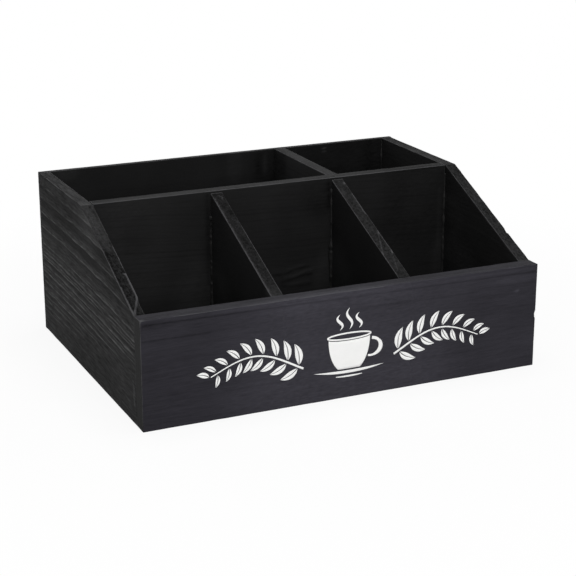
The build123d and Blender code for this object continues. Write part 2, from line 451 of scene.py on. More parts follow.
# Marks on single boards, in millimetres. Patches are a centre, a size and an amount of light or
# dark. Lines and rubbed lines are a radius, an amount and the places of a path. Chips are a
# centre, a size and a depth.
FRONT_PATCHES = [
    ((-2, -125, 40), (80, 6, 90), 0.42),
    ((-10, -125, 6), (115, 6, 18), 0.16),
    ((-20, -125, 81), (72, 4, 9), 0.18),
    ((60, -118, 85), (50, 9, 3), -0.1),
    ((-45, -118, 85), (20, 9, 3), 0.06),
    ((146, -125, 74.5), (20, 4, 3.2), 0.24),
    ((146, -125, 65), (1.6, 3, 1.2), 0.9),
    ((150, -125, 12), (26, 4, 20), 0.08),
    ((-146, -125, 8), (30, 4, 17), -0.04),
    ((-152, -125, 80), (14, 4, 3), -0.12),
    ((-115, -125, 78), (40, 4, 12), -0.06),
    ((108, -125, 78), (40, 4, 12), 0.08),
    ((112, -125, 18), (60, 4, 26), 0.06),
]
FRONT_LINES = [
    (0.7, -0.46, (-163, -125, 81), (-100, -125, 80.5), (0, -125, 79.7)),
    (0.7, -0.28, (0, -125, 79.7), (163, -125, 78.9)),
    (1.4, 0.16, (-110, -125, 83.2), (-20, -125, 82.8), (60, -125, 82.4)),
    (1.5, 0.24, (60, -125, 82.4), (160, -125, 81.8)),
    (0.8, -0.28, (-163, -125, 68.7), (-112, -125, 68.5)),
    (0.8, -0.16, (20, -125, 69.5), (112, -125, 68.8)),
    (0.8, -0.14, (112, -125, 71.2), (163, -125, 70.8)),
    (0.8, -0.1, (-163, -125, 26), (-70, -125, 26)),
]
FRONT_RUBBED = [
    (0.9, 0.08, (-165, -125, 84), (-165, -125, 54)),
    (0.9, -0.06, (-165, -125, 54), (-165, -125, 36)),
    (0.9, -0.17, (-165, -125, 36), (-165, -125, 2)),
    (1.4, 0.8, (-165, -125, 84.5), (-163, -123, 84.8)),
    (0.9, -0.35, (-160, -125, 85), (-135, -125, 85)),
    (0.9, -0.45, (30, -125, 85), (80, -125, 85), (165, -125, 85)),
    (0.6, 0.3, (-156, -112.4, 85), (156, -112.4, 85)),
]
FRONT_CHIPS = [((165, -125, 43), (2, 2, 2.4), 0.7)]
LEFT_PATCHES = [
    ((-165, -10, 14), (4, 52, 24), -0.18),
    ((-165, -90, 14), (4, 26, 22), -0.08),
    ((-160, 44, 137), (6, 10, 3), 0.14),
    ((-160, 6, 137), (6, 9, 3), 0.12),
    ((-160, 100, 137), (8, 22, 3), -0.16),
    ((-160, -16, 127.8), (7, 30, 20), 1.05),
    ((-165, 75, 122), (4, 50, 22), -0.3),
    ((-160, -75, 101), (7, 36, 20), -0.22),
    ((-158, 2.9, 135.7), (1.4, 1.8, 1.4), -0.7),
    ((-158.2, -2.8, 133.1), (1.3, 2.2, 1.4), -0.6),
]
LEFT_LINES = [
    (0.9, -0.16, (-165, -104.6, 2), (-165, -104.8, 52)),
    (0.6, -0.38, (-165, -112, 2), (-165, -112, 60)),
    (0.7, -0.7, (-157.2, -2, 133.5), (-156.6, -40, 116.7)),
    (0.8, -0.55, (-163, -34, 119.4), (-162.8, -108, 86.8)),
    (0.5, -0.34, (-158.6, 104, 137), (-160.6, 52, 137), (-160.2, 20, 137)),
    (0.5, -0.28, (-162.6, 78, 137), (-162, 16, 137)),
]
LEFT_RUBBED = [
    (1.3, 0.5, (-165, -105.9, 33), (-165, -106.7, 27), (-165, -106.2, 21), (-165, -107.1, 15)),
    (0.8, 0.35, (-165, -107.3, 29), (-165, -106.9, 18)),
    (1.5, 0.22, (-165, -106, 52), (-165, -106.9, 38), (-165, -106.4, 12), (-165, -107, 3)),
    (0.9, -0.3, (-165, 4, 136.1), (-165, -24, 123.8)),
    (0.5, 0.55, (-162.4, 2, 135.2), (-161.6, -26, 122.9)),
    (0.5, 0.35, (-161.6, -26, 122.9), (-161.4, -60, 107.9)),
    (1.1, 0.5, (-164.9, -46, 114.1), (-164.9, -84, 97.3)),
    (1.3, 0.8, (-164.8, -84, 97.3), (-164.8, -111, 85.4)),
    (0.8, -0.35, (-155, 4, 136.1), (-155, -40, 116.7)),
    (0.7, 0.6, (-155.6, -42, 115.8), (-155.6, -64, 106.1)),
    (0.6, 0.9, (-155.6, -71, 103.1), (-158, -69.8, 103.6)),
    (0.9, 1.1, (-155.9, -71, 103.1), (-155.9, -95, 92.5)),
    (0.6, 1.1, (-155.9, -95, 92.5), (-163.3, -110, 85.9)),
    (0.5, 0.6, (-155.3, 118, 137), (-155.3, 10, 137)),
]
LEFT_BROKEN = ((-155, -94), (-163.6, -110.6), 4)
LEFT_RINGS = [
    (-20, 0, 0), (9, 0.1, 0.1), (17.6, 0.25, 0.2), (22.4, 0.7, 0.3), (27.8, 0.5, 0.3),
    (31.6, 0.4, 0.3), (36.3, 0.9, 0.4), (38.6, 0.5, 0.2), (44.2, 1.2, 0.6), (48.8, 0.6, 0.5),
    (53.3, 1.6, 0.6), (56.3, 0.5, 0.3), (59.1, 1.6, 0.7), (64.7, 0.9, 0.8), (67.2, 1.1, 0.4),
    (70.4, 1.4, 0.4), (73.5, 0.5, 0.3), (77.2, 1.5, 0.6), (84, 0.2, 0.1), (91.6, 1.2, 0.6),
    (103.9, 1.1, 1.2), (117, 0.7, 1.3), (127.5, 0.5, 0.6), (146, 0.4, 0.3), (170, 0, 0),
]
RIGHT_RINGS = random_rings(21, -20, 180, gap=7, line=1, groove=0.8)
RIGHT_CHIPS = [((165, -78, 100), (2.2, 2.4, 2.4), 0.8)]
# The patches at x 155 are painted light on the inner face of the right side, lighter all along it
# and most beside the cross divider.
RIGHT_PATCHES = [
    ((155, 70, 120), (4, 60, 30), 0.35),
    ((155, -60, 70), (4, 60, 40), 0.35),
    ((160, 100, 137), (8, 28, 3), -0.25),
    ((160, -30, 121), (8, 20, 12), 0.25),
    ((160, -103, 89), (8, 14, 8), 0.45),
    ((155, -8, 97), (3, 18, 18), 0.35),
    ((155, -5, 54), (3, 40, 22), 0.9),
]
# Most patches on the front face, at y 6, are painted light and painted shade in the bays: the left
# bay lighter and the right bay darker, with lighter low corners beside the dividers and the right
# side.
CROSS_PATCHES = [
    ((-142, 6, 100), (42, 5, 70), 0.3),
    ((38, 6, 126), (16, 5, 20), -0.28),
    ((8, 6, 114), (14, 5, 18), -0.14),
    ((-118, 6, 108), (12, 5, 14), -0.2),
    ((0, 6, 80), (50, 5, 14), -0.08),
    ((80, 6, 105), (30, 5, 60), -0.1),
    ((136, 6, 105), (36, 5, 60), -0.28),
    ((-62, 6, 46), (26, 5, 32), 0.4),
    ((46, 6, 46), (12, 5, 28), 0.35),
    ((154, 6, 52), (9, 5, 24), 0.3),
    ((62, 6, 128), (0.8, 2, 0.8), 2.5),
    ((-150, 11, 137), (24, 6, 3), -0.3),
    ((128, 11, 137), (44, 6, 3), -0.3),
]
# Strokes on the cross divider. The first two are painted shade beside its joints with the front
# dividers. The last six are a swirl in the grain of the middle bay.
CROSS_LINES = [
    (1.8, -0.35, (-61.2, 6, 133), (-61.2, 6, 60)),
    (1.8, -0.3, (45.6, 6, 133), (45.6, 6, 112)),
    (1, 0.3, (150.5, 6, 117), (150.5, 6, 66)),
    (1.2, -0.4, (-4, 6, 59.5), (8.5, 6, 59.8), (16, 6, 62.5), (26.6, 6, 63.5)),
    (1.3, -0.4, (3, 6, 52.9), (13.4, 6, 54.2), (21, 6, 56.2), (30, 6, 56.7)),
    (1.4, -0.32, (3, 6, 49.3), (14.7, 6, 47.7), (24.5, 6, 47.7), (30, 6, 48.3)),
    (1.1, 0.3, (9.9, 6, 63.9), (23, 6, 65.9)),
    (1.3, 0.34, (6.3, 6, 56.6), (16, 6, 57.2), (24.5, 6, 60.1), (30, 6, 60.4)),
    (1.3, 0.26, (9.9, 6, 50), (27, 6, 51.3)),
]
CROSS_RUBBED = [
    (0.5, 0.35, (-154, 6.1, 137), (154, 6.1, 137)),
    (0.5, 0.45, (-154, 15.9, 137), (154, 15.9, 137)),
]
# The darker patches are painted shade on the back wall of the rear bays, beside the rear divider
# and towards the right side.
BACK_PATCHES = [
    ((97.8, 121, 132.8), (0.9, 2, 0.9), 2.5),
    ((97, 121, 129.8), (0.7, 2, 0.7), 1.2),
    ((44, 121, 120), (16, 2, 40), -0.34),
    ((108, 121, 110), (50, 2, 60), -0.38),
    ((148, 121, 110), (12, 2, 60), -0.2),
    ((10, 121, 126), (7, 2, 16), 0.3),
    ((-142, 121, 135), (10, 2, 7), 0.4),
    ((38.5, 121, 124), (1.3, 2, 9), 0.5),
    ((31, 121, 122), (1.6, 2, 8), -0.3),
]
# Painted shade on the rear divider's side face towards the back panel.
REAR_PATCHES = [((48.3, 112, 125), (4, 14, 40), -0.4)]
# The second patch is painted light low on the divider's left face beside the cross divider.
LEFT_DIVIDER_PATCHES = [
    ((-58.3, -30, 88), (3, 70, 28), 0.12),
    ((-58.3, 6, 50), (3, 34, 28), 0.85),
    ((-53.3, -108, 86), (7, 8, 5), 0.9),
    ((-53.3, -52, 110), (2.4, 5, 4), -0.35),
    ((-51, -18, 125), (1.8, 4, 3), -0.45),
]
# The first patch is painted light low on the divider's left face beside the cross divider.
RIGHT_DIVIDER_PATCHES = [
    ((48.3, 6, 50), (3, 36, 30), 0.85),
    ((54.5, -70, 102.5), (1.6, 9, 5), -0.4),
    ((50.2, -10, 128), (2, 8, 5), 0.25),
]
LEFT_DIVIDER_RUBBED = [
    (1.3, 0.4, (-57.2, 0, 132.4), (-57.2, -112, 84.5)),
    (0.7, -0.2, (-48.7, 4, 134.1), (-48.7, -34, 117.9)),
    (0.8, 0.35, (-49.1, -34, 117.9), (-49.1, -110, 85.4)),
    (0.7, 0.7, (-52.6, 2.2, 133.4), (-50.4, 0.2, 132.5), (-51.6, -2.2, 131.5)),
    (0.9, 0.4, (-53, -26, 121.3), (-49.2, -30, 119.6)),
]
RIGHT_DIVIDER_RUBBED = [
    (1.1, 0.9, (57.2, 1, 132.9), (56.8, 0, 132.4)),
    (0.9, 0.55, (57.4, -13.7, 126.6), (57, -38, 116.2)),
    (0.8, 0.6, (57.2, -59.4, 107), (52.9, -72, 101.6), (48.9, -84.4, 96.3)),
    (0.9, 0.45, (57.6, -60, 106.8), (57.6, -84, 96.5)),
    (0.8, 0.5, (57.2, -82.6, 97.1), (51.6, -104, 87.9)),
]


def front_board():
    """The front panel: fine grain, almost level."""
    return level_board(
        "front_panel", axes=(X, Z, Y), radii=(0.7, 0.7, 0.9, 0.7), steps=(2.6, 0.5, 0.9),
        rings=random_rings(8, -20, 120, gap=4.5, line=0.2, groove=0.3), tilt=0.010, wave=4 * MM,
        relief=0.03 * MM, skin=0.10 * MM, patches=FRONT_PATCHES, lines=FRONT_LINES, seed=3.7,
        rubbed=FRONT_RUBBED, chips=FRONT_CHIPS, nails=nail_marks("front_panel_brads", Y, True),
    )


def side_board(node, **changes):
    """A side panel: level top, straight slope, and deep brushed grain that falls to the front."""
    low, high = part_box(node)
    low_chain = [(low.z, low.y), (FRONT_TOP, low.y), (high.z, SLOPE_START)]
    high_chain = [(low.z, high.y), (FRONT_TOP, high.y), (high.z, high.y)]
    return make_board(
        node, (Y, Z, X), low_chain, high_chain, radii=(0.5, 0.3, 0.3, 0.9, 0.9, 0.3),
        steps=(2.2, 0.48, 0.8), joined=[[0], [1, 2], [3, 4], [5]],
        grain=Y, lean=0.4, bow=0.13, bow_from=94 * MM,
        wave=1.6 * MM, ripple=1.0 * MM, sharp=0.66 * MM, soft=4 * MM, groove=(0.35, 0.8),
        broken_up=0.6, planed=0.9, fibre=0.10 * MM, fade=(2 * MM, 22 * MM, 0.2),
        nails=nail_marks(node.replace("panel", "brads"), X, node == "left_side_panel"), **changes,
    )


def divider_board(node, **changes):
    """A sloped front divider. Its rows run upright, so that they end on the slope."""
    low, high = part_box(node)
    low_chain = [(low.y, low.z), (high.y, low.z)]
    high_chain = [(low.y, FRONT_TOP - DIVIDER_STEP), (high.y, high.z)]
    return make_board(
        node, (Z, Y, X), low_chain, high_chain, radii=(0.3, 0.9, 0.3, 0.3), steps=(0.9, 1.3, 0.7),
        grain=Y, lean=1.2, wave=4 * MM, planed=0.8, **changes,
    )


# Shader nodes as sums and products

class Wire:
    """A shader socket. Sums, differences and products of wires add Math nodes."""

    def __init__(self, finish, socket):
        self.finish = finish
        self.socket = socket

    def _math(self, operation, *values):
        return self.finish.node("ShaderNodeMath", dict(enumerate(values)), operation=operation)

    def __add__(self, other):
        return self._math("ADD", self, other)

    def __radd__(self, other):
        return self._math("ADD", other, self)

    def __sub__(self, other):
        return self._math("SUBTRACT", self, other)

    def __rsub__(self, other):
        return self._math("SUBTRACT", other, self)

    def __mul__(self, other):
        return self._math("MULTIPLY", self, other)

    def __rmul__(self, other):
        return self._math("MULTIPLY", other, self)

    def at_least(self, low):
        return self._math("MAXIMUM", self, low)

    def between(self, start, stop):
        """0 before start and 1 after stop, smooth in between."""
        sockets = {"Value": self, "From Min": start, "From Max": stop}
        return self.finish.node("ShaderNodeMapRange", sockets, interpolation_type="SMOOTHSTEP")


class Finish:
    """The nodes of a material or world, with one method that adds any of them."""

    def __init__(self, name, world=False):
        self.owner = (bpy.data.worlds if world else bpy.data.materials).new(name)
        self.owner.use_nodes = True
        self.tree = self.owner.node_tree
        self.tree.nodes.clear()

    def node(self, kind, sockets=None, output=0, **settings):
        """A node with its settings, set first, and the values or links of its sockets."""
        node = self.tree.nodes.new(kind)
        for key, value in settings.items():
            if key == "stops":
                ramp = node.color_ramp.elements
                while len(ramp) < len(value):
                    ramp.new(0.5)
                for element, (place, colour) in zip(ramp, value):
                    element.position = place
                    element.color = colour
            else:
                setattr(node, key, value)
        for key, value in (sockets or {}).items():
            if isinstance(value, Wire):
                self.tree.links.new(value.socket, node.inputs[key])
            else:
                node.inputs[key].default_value = value
        return Wire(self, node.outputs[output]) if node.outputs else None

    def mask(self, name):
        """One of the piece's own attributes."""
        return self.node(
            "ShaderNodeAttribute", output=2, attribute_name=name, attribute_type="GEOMETRY"
        )

    def seen(self):
        """1 for rays from the camera, also by way of a mirror or glass."""
        rays = self.node("ShaderNodeLightPath").socket.node.outputs
        kinds = ("Camera", "Glossy", "Transmission")
        direct, glossy, through = [Wire(self, rays[f"Is {kind} Ray"]) for kind in kinds]
        return direct + glossy + through

    def place(self):
        return self.node("ShaderNodeTexCoord", output=3)

    def along_rings(self, spot, across):
        """The place, with its coordinate across the board counted along the rings."""
        flat = self.vectors("MULTIPLY", spot, [float(axis != across) for axis in (X, Y, Z)])
        risen = self.node("ShaderNodeCombineXYZ", {across: self.mask("ringed")})
        return self.vectors("ADD", flat, risen)

    def vectors(self, operation, first, second):
        return self.node("ShaderNodeVectorMath", {0: first, 1: second}, operation=operation)

    def noise(self, vector, scale, detail, roughness, distortion=0.0):
        sockets = {
            "Vector": vector, "Scale": scale, "Detail": detail, "Roughness": roughness,
            "Distortion": distortion,
        }
        return self.node("ShaderNodeTexNoise", sockets)

    def stretched(self, vector, scale, shift=(0, 0, 0)):
        sockets = {"Vector": vector, "Scale": scale, "Location": shift}
        return self.node("ShaderNodeMapping", sockets)

    def strands(self, place, grain, along, across, shift, distortion=0.0):
        """Noise drawn out along the grain, with its scales along and across it."""
        scale = [along if axis == grain else across for axis in (X, Y, Z)]
        drawn = self.stretched(place, scale, shift)
        return self.noise(drawn, 1.0, detail=4.0, roughness=0.6, distortion=distortion)

    def blend(self, share, first, second):
        """A mix of two colours."""
        sockets = {0: share, 6: first, 7: second}
        return self.node("ShaderNodeMix", sockets, 2, data_type="RGBA", clamp_factor=True)

    def scaled(self, colour, amount):
        """A colour times a number."""
        sockets = {0: colour, "Scale": amount}
        return self.node("ShaderNodeVectorMath", sockets, operation="SCALE")

    def bump(self, height, distance, strength):
        sockets = {"Height": height, "Distance": distance, "Strength": strength}
        return self.node("ShaderNodeBump", sockets)

    def surface(self, **sockets):
        """The Principled shader and the material's output."""
        named = {key.replace("_", " "): value for key, value in sockets.items()}
        shader = self.node("ShaderNodeBsdfPrincipled", named)
        self.node("ShaderNodeOutputMaterial", {"Surface": shader})
        return self.owner


def colour(red, green, blue):
    return (float(red), float(green), float(blue), 1.0)


# Black stain on pine, in linear colours
PLAIN_STAIN = colour(0.0240, 0.0240, 0.0243)
GROOVE_STAIN = colour(0.0105, 0.0105, 0.0107)
HARD_LINE = colour(0.072, 0.072, 0.0725)
PALE_WOOD = colour(0.0225, 0.0225, 0.0228)
DARK_LINE = colour(0.0125, 0.0125, 0.0128)
BRUSHED = [(0.0, GROOVE_STAIN), (PLAIN, PLAIN_STAIN), (1.0, HARD_LINE)]
SMOOTH = [(0.0, PALE_WOOD), (PLAIN, PLAIN_STAIN), (1.0, DARK_LINE)]
RUBBED = colour(0.075, 0.075, 0.078)
LEVEL_TOP = np.array([0.031, 0.031, 0.0315])
TORN_FIBRE = np.array([0.0118, 0.0118, 0.012])


def black_stain(
    name, grain, shift, stops=SMOOTH, streaks=0.6, fine=0.8, dashes=26.0, light=1.0,
    tint=(1, 1, 1), inside_shade=0.55, top=1.0, slope=1.0, specks=2.6, calm=0.6, across=Z,
):
    """Black stain on pine: rings, long fibres, pores, uneven colour, rubbed edges, end grain.
    A ramp of the ridge value gives the colour. Noise drawn out along the grain and the marks
    multiply it, and level tops and torn slopes have colours of their own. Rubbed edges turn pale
    where their wear times the noise is high, and painted shade darkens the inside of the box."""
    finish = Finish(name)
    spot = finish.place()
    rings = finish.along_rings(spot, across)
    fibres = finish.strands(rings, grain, along=110.0, across=1700.0, shift=shift)
    strands = finish.strands(
        rings, grain, along=dashes, across=620.0, shift=shift, distortion=0.3
    )
    shifted = finish.stretched(spot, (1, 1, 1), shift)
    patches = finish.noise(shifted, 24.0, detail=3.0, roughness=0.5)
    speckle = finish.noise(spot, 1100.0, detail=3.0, roughness=0.7)
    mottle = finish.noise(spot, 380.0, detail=4.0, roughness=0.7)

    worn = finish.mask("worn")
    cut = finish.mask("cut")
    inside = finish.mask("inside")
    sawn = cut.between(0.25, 0.38) * (1 - cut.between(0.6, 0.95) * 0.8)

    base = finish.node("ShaderNodeValToRGB", {0: finish.mask("ridge")}, stops=stops)
    level = finish.mask("level")
    plain = finish.blend(level * 0.9, base, colour(*(top * LEVEL_TOP)))
    tinted = finish.vectors("MULTIPLY", plain, tint)
    untinted = (cut.between(0.6, 0.95) + level * 0.45).between(0.0, 1.0)
    base = finish.blend(untinted, tinted, plain)
    base = finish.blend(sawn, base, colour(*(slope * TORN_FIBRE)))
    amount = (strands - 0.5) * streaks + (fibres - 0.5) * fine
    amount = amount * (1 - inside * calm) + (patches - 0.5) * 0.5 + 1.0
    amount = amount + (speckle + mottle - 1.0) * sawn * specks + finish.mask("shade")
    amount = amount + (strands + mottle - 1.0) * level * 0.8
    base = finish.scaled(base, amount.at_least(0.1) * light)
    rubbed = (worn * (strands * 0.5 + speckle * 0.9 + 0.25)).between(0.15, 0.95)
    base = finish.blend(rubbed * 0.75, base, RUBBED)
    # Painted shade: the inside of the box is darkened by the board's share, standing in for the
    # shade in the compartments.
    base = finish.scaled(base, 1 - inside * inside_shade)

    height = fibres * 0.35 + strands * 0.6 + speckle * (0.1 + 0.5 * sawn)
    normal = finish.bump(height, distance=0.16 * MM, strength=0.9)
    rough = strands * 0.16 + 0.62 - worn * 0.08
    return finish.surface(
        Base_Color=base, Roughness=rough, Normal=normal, Specular_IOR_Level=0.03, IOR=1.45
    )


def dull_steel():
    """Brad wire: grey steel, dulled and tinted by the stain."""
    finish = Finish("stained_steel_wire")
    spot = finish.place()
    film = finish.noise(spot, 900.0, detail=4.0, roughness=0.6)
    drawn = finish.noise(finish.stretched(spot, (400, 400, 90)), 3.0, detail=3.0, roughness=0.5)
    base = finish.blend(film.between(0.35, 0.6), colour(0.05, 0.05, 0.052), colour(0.3, 0.3, 0.31))
    normal = finish.bump(drawn, distance=0.05 * MM, strength=0.6)
    rough = film * 0.3 + 0.3
    bare = film.between(0.3, 0.7)
    return finish.surface(Base_Color=base, Roughness=rough, Metallic=bare, Normal=normal)


def white_print():
    """Screen-printed white paint: thin, a little uneven, and broken by the deepest pores."""
    finish = Finish("white_screen_print")
    spot = finish.place()
    pores = finish.noise(finish.stretched(spot, (50, 900, 900)), 1.0, detail=4.0, roughness=0.65)
    cover = finish.noise(spot, 140.0, detail=3.0, roughness=0.6)
    base = finish.blend(cover, colour(0.80, 0.80, 0.79), colour(0.88, 0.88, 0.87))
    gaps = pores.between(0.70, 0.80)
    base = finish.blend(gaps * 0.75, base, colour(0.10, 0.10, 0.11))
    normal = finish.bump(pores * -1.0, distance=0.06 * MM, strength=0.6)
    return finish.surface(
        Base_Color=base, Roughness=cover * 0.2 + 0.45, Normal=normal, Specular_IOR_Level=0.3
    )


GLUE_DARK = colour(0.012, 0.012, 0.012)
GLUE_PALE = colour(0.019, 0.019, 0.0185)


def dried_glue():
    """Stained glue squeezed out of a joint: a little lighter and glossier than the wood."""
    finish = Finish("stained_glue_line")
    spot = finish.place()
    lumps = finish.noise(finish.stretched(spot, (1, 1, 0.3)), 420.0, detail=3.0, roughness=0.5)
    base = finish.blend(lumps.between(0.40, 0.66), GLUE_DARK, GLUE_PALE)
    normal = finish.bump(lumps, distance=0.15 * MM, strength=0.8)
    return finish.surface(
        Base_Color=base, Roughness=lumps * 0.2 + 0.4, Normal=normal, Specular_IOR_Level=0.08
    )


# Printed ornament on the front panel

PRINT_TOP = front_low.y + 0.03 * MM
PRINT_FOOT = front_low.y + 0.30 * MM
PRINT_CENTRE = ((front_low.x + front_high.x) / 2, front_low.z + 0.49 * (front_high.z - front_low.z))


def along_curve(path):
    """Unit directions along a path of 2-D points, and the directions square to them."""
    run = np.gradient(path, axis=0)
    run = run / np.linalg.norm(run, axis=1)[:, None]
    return run, np.stack([-run[:, 1], run[:, 0]], -1)


def band(path, low, high, across=4):
    """A flat printed band: a path in millimetres, and the offsets of its two edges from it."""
    _, square = along_curve(path)
    share = np.linspace(0, 1, across)
    offset = low[:, None] + (high - low)[:, None] * share
    flat = path[:, None, :] + square[:, None, :] * offset[:, :, None]
    column, row, layer, quads = closed_slab(len(path), across, 2)
    points = np.zeros((len(column), 3))
    points[:, 0] = PRINT_CENTRE[0] + flat[column, row, 0] * MM
    points[:, 2] = PRINT_CENTRE[1] + flat[column, row, 1] * MM
    points[:, 1] = np.where(layer == 0, PRINT_TOP, PRINT_FOOT)
    return points, outwards(points, quads)


def stroke(path, widest, start=0.05, stop=0.05):
    """A brush stroke: a band whose half width swells and thins as half a wave of a sine."""
    share = np.linspace(0, 1, len(path))
    half = np.maximum(np.sin(np.pi * share) * widest / 2, start + (stop - start) * share)
    return band(path, -half, half)


def arc(centre, radii, first, last, count):
    """Points of an ellipse from one angle to another, in degrees."""
    angle = np.radians(np.linspace(first, last, count))
    return np.array(centre) + np.array(radii) * np.stack([np.cos(angle), np.sin(angle)], -1)


def leaf(root, direction, length, width, bend):
    """Two halves of a pointed leaf on either side of a bare midrib.
    The midrib bends by a parabola, and each half is as wide as a sine of the share along it."""
    share = np.linspace(0, 1, 26)
    turn = math.radians(direction)
    forward = np.array([math.cos(turn), math.sin(turn)])
    sideways = np.array([-forward[1], forward[0]])
    curve = bend * length * 4 * share * (1 - share)
    path = np.array(root) + forward * (share * length)[:, None] + sideways * curve[:, None]
    half = width / 2 * np.sin(np.pi * share ** 0.85) ** 0.9
    rib = 0.34 * (1 - 0.6 * share)
    outer = np.maximum(half, rib + 0.04)
    return [band(path, rib, outer), band(path, -outer, -rib)]


def mirrored(pieces):
    """The same bands on the other side of the middle, turned outwards again."""
    across = np.array([2 * PRINT_CENTRE[0], 0, 0])
    return [(across + points * (-1, 1, 1), quads[:, ::-1]) for points, quads in pieces]


def cup_print():
    """A cup on its saucer with three wisps of steam. Bare lines keep its parts apart.
    The bowl narrows with the square root of one minus a power of the depth, and its top edge
    follows the near half of the rim's ellipse, one bare line below it. The saucer and its foot
    are bands that thin to their ends by a power. Each wisp is a stroke along a wave of a sine."""
    rim_height, rim_width, rim_depth, bare_line = 7.9, 18.0, 2.4, 1.25
    share = np.linspace(0, 1, 60)
    height = 6.0 - 24.0 * share
    half = 17.5 * (1 - 0.62 * share ** 2.6) ** 0.5 - 1.6 * share
    across = 17.3 * np.sin(np.linspace(-np.pi / 2, np.pi / 2, 61))
    foot = np.interp(np.abs(across), half[::-1], height[::-1])
    lip = rim_height - rim_depth * np.sqrt(1 - (across / rim_width) ** 2) - bare_line
    bowl = band(np.stack([across, 0 * across], -1), np.minimum(foot, lip - 0.05), lip, 12)
    line = np.full(72, 0.6)
    ellipse = arc((0, rim_height), (rim_width, rim_depth), first=0, last=360, count=72)
    rim = band(ellipse, -line, line, 3)
    ear = arc((18.2, -3.2), (8.4, 7.0), first=84, last=-106, count=44)
    handle = stroke(ear, widest=3.4, start=1.2, stop=0.8)
    span = np.linspace(-1, 1, 50)
    plate_path = np.stack([29.0 * span, -20.0 + 1.6 * span ** 2], -1)
    thick = 1.6 * np.maximum(1 - np.abs(span) ** 2.4, 0.02)
    plate = band(plate_path, -thick, 0.02 + thick * 0.35)
    foot_path = np.stack([11.0 * span, np.full(50, -24.0)], -1)
    ring = band(foot_path, -0.8 * np.maximum(1 - span ** 2, 0.03), np.full(50, 0.5), 3)
    wisps = []
    for middle, low, tall in ((-8.0, 13.2, 12.5), (0.0, 13.2, 17.0), (8.0, 13.2, 12.5)):
        rise = np.linspace(0, 1, 34)
        side = 2.2 * np.sin(2 * np.pi * rise)
        wisps.append(stroke(np.stack([middle + side, low + tall * rise], -1), 2.3))
    return [bowl, rim, handle, plate, ring] + wisps


def sprig_print():
    """A leafy branch from beside the cup to the end of the panel. No two of its parts touch.
    The stem follows a little over half a wave of a sine, climbs evenly and thins evenly. Eight
    pairs of leaves stand at even shares of it, shorter towards its tip, where one more ends it."""
    share = np.linspace(0, 1, 90)
    height = -8.0 + 9.5 * np.sin(np.pi * (1.25 * share - 0.15)) + 3.5 * share
    stem = np.stack([38.0 + 74.0 * share, height], -1)
    half = 0.8 - 0.45 * share
    pieces = [band(stem, -half, half, 3)]
    run, _ = along_curve(stem)
    for at in np.linspace(0.05, 0.93, 8):
        index = int(at * 89)
        heading = math.atan2(run[index, 1], run[index, 0])
        for side in (1, -1):
            turn = heading + math.radians(50.0 if side > 0 else -54.0)
            reach = (17.5 - 7.5 * at) * (1.0 if side > 0 else 0.9)
            root = stem[index] + 2.0 * np.array([math.cos(turn), math.sin(turn)])
            pieces += leaf(root, math.degrees(turn), reach, 0.36 * reach, 0.10 * side)
    tip = stem[-1] + np.array([1.3, 0.3])
    pieces += leaf(tip, direction=16.0, length=10.0, width=4.2, bend=0.08)
    return pieces


def printed_ornament():
    """The whole print as one thin mesh, set into the panel's brushed surface."""
    sprig = sprig_print()
    bands = cup_print() + sprig + mirrored(sprig)
    points, quads, count = [], [], 0
    for part_points, part_quads in bands:
        points.append(part_points)
        quads.append(part_quads + count)
        count += len(part_points)
    piece = make_piece("printed_ornament", np.concatenate(points), np.concatenate(quads))
    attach(piece, "root")
    return piece


# Glue lines in the corners of the compartments

def glue_line(name, corner, low, high, width, seed):
    """A ragged bead down a corner: a tube of eight sides whose radius follows noise."""
    count = int((high - low) / (0.7 * MM))
    height = np.linspace(low, high, count)
    swell = cloud(height / (2.6 * MM), seed, 0.3) * 0.5 + cloud(height / (11 * MM), seed, 7.1) * 0.9
    radius = width * np.clip(swell - 0.2, 0.15, 1.0)
    radius[0] = radius[-1] = 0.02 * MM
    angle = np.linspace(0, 2 * np.pi, 8, endpoint=False)
    ring = np.arange(8)
    points = np.zeros((count, 8, 3))
    points[:, :, 0] = corner[0] + radius[:, None] * np.cos(angle)
    points[:, :, 1] = corner[1] + radius[:, None] * np.sin(angle)
    points[:, :, 2] = height[:, None]
    number = np.arange(count)[:, None] * 8 + ring
    sides = np.stack([
        number[:-1], np.roll(number[:-1], -1, axis=1), np.roll(number[1:], -1, axis=1), number[1:],
    ], -1).reshape(-1, 4)
    cap = np.array([[0, 1, 2, 7], [2, 3, 6, 7], [3, 4, 5, 6]])
    quads = np.concatenate([sides, cap[:, ::-1], cap + 8 * (count - 1)])
    piece = make_piece(name, points.reshape(-1, 3), quads)
    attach(piece, "root")
    return piece


# Build the object

